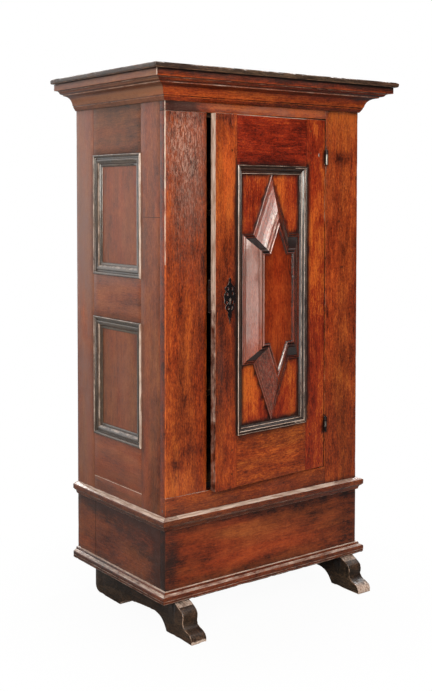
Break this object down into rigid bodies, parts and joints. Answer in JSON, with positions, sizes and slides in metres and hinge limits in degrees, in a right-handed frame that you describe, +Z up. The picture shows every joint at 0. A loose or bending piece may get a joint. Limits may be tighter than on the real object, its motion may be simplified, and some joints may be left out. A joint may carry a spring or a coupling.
{
  "type": "bonnetiere cabinet",
  "caption": "Tall walnut linen cupboard with a panelled door standing slightly ajar, projecting cornice, framed side panels, moulded plinth and scrolled runner feet.",
  "frame": {"origin": "on the ground, under the middle of the overall box", "axes": "+Z up, the front with the door faces -Y, +X to the right when the front is seen"},
  "size_m": [1.094, 0.7, 1.9],
  "materials": {
    "front_walnut": "waxed, glossy, orange-red brown with dark knots",
    "side_walnut": "waxed, satin, dull rose-brown",
    "field_walnut": "waxed, glossy, red-orange",
    "figure_walnut": "waxed, glossy, moulded edges darkened",
    "dark_moulding": "ebonised, polished ridges",
    "moulding_walnut": "waxed, worn and chipped along the edges",
    "plinth_walnut": "waxed, grimy near the mouldings",
    "foot_walnut": "dark, rubbed bare and pale at the bottom edges",
    "inner_wood": "unfinished, dry, brown",
    "iron": "forged, dark, lightly polished on the edges"
  },
  "bodies": {
    "cabinet": {"runner_left": "foot_walnut", "runner_right": "foot_walnut", "plinth_front": "plinth_walnut", "plinth_left": "plinth_walnut", "plinth_right": "plinth_walnut", "base_moulding_front": "moulding_walnut", "base_moulding_left": "moulding_walnut", "base_moulding_right": "moulding_walnut", "waist_moulding_front": "moulding_walnut", "waist_moulding_left": "moulding_walnut", "waist_moulding_right": "moulding_walnut", "front_stile_left": "front_walnut", "front_stile_right": "front_walnut", "bottom_rail": "front_walnut", "frieze_rail": "front_walnut", "side_left_front_stile": "side_walnut", "side_left_rear_stile": "side_walnut", "side_left_top_rail": "side_walnut", "side_left_mid_rail": "side_walnut", "side_left_bottom_rail": "side_walnut", "side_right_front_stile": "side_walnut", "side_right_rear_stile": "side_walnut", "side_right_top_rail": "side_walnut", "side_right_mid_rail": "side_walnut", "side_right_bottom_rail": "side_walnut", "side_left_panel_lower": "side_walnut", "side_left_panel_upper": "side_walnut", "side_right_panel_lower": "side_walnut", "side_right_panel_upper": "side_walnut", "side_left_moulding_lower": "dark_moulding", "side_left_moulding_upper": "dark_moulding", "side_right_moulding_lower": "dark_moulding", "side_right_moulding_upper": "dark_moulding", "floor_board": "inner_wood", "shelf_1": "inner_wood", "shelf_2": "inner_wood", "shelf_3": "inner_wood", "back_board_1": "inner_wood", "back_board_2": "inner_wood", "back_board_3": "inner_wood", "top_board": "front_walnut", "cornice_front": "front_walnut", "cornice_left": "side_walnut", "cornice_right": "side_walnut", "door_stop": "inner_wood", "bolt_keeper": "iron", "hinge_lower_frame_half": "iron", "hinge_upper_frame_half": "iron"},
    "door": {"door_lock_stile": "front_walnut", "door_hinge_stile": "front_walnut", "door_top_rail": "front_walnut", "door_bottom_rail": "front_walnut", "door_panel": "field_walnut", "door_panel_moulding": "dark_moulding", "door_raised_figure": "figure_walnut", "key_plate": "iron", "lock_case": "iron", "hinge_lower_door_half": "iron", "hinge_upper_door_half": "iron"},
    "bolt": {"lock_bolt": "iron"}
  },
  "joints": [
    {"name": "door_hinge", "type": "hinge", "parent": "cabinet", "child": "door", "pos_m": [0.2744, -0.2445, 0.4695], "axis": [0, 0, 1], "range_deg": [-4.7, 155.3]},
    {"name": "bolt_slide", "type": "slide", "parent": "door", "child": "bolt", "axis": [-0.9966, -0.0819, 0], "range_m": [0, 0.016]}
  ]
}
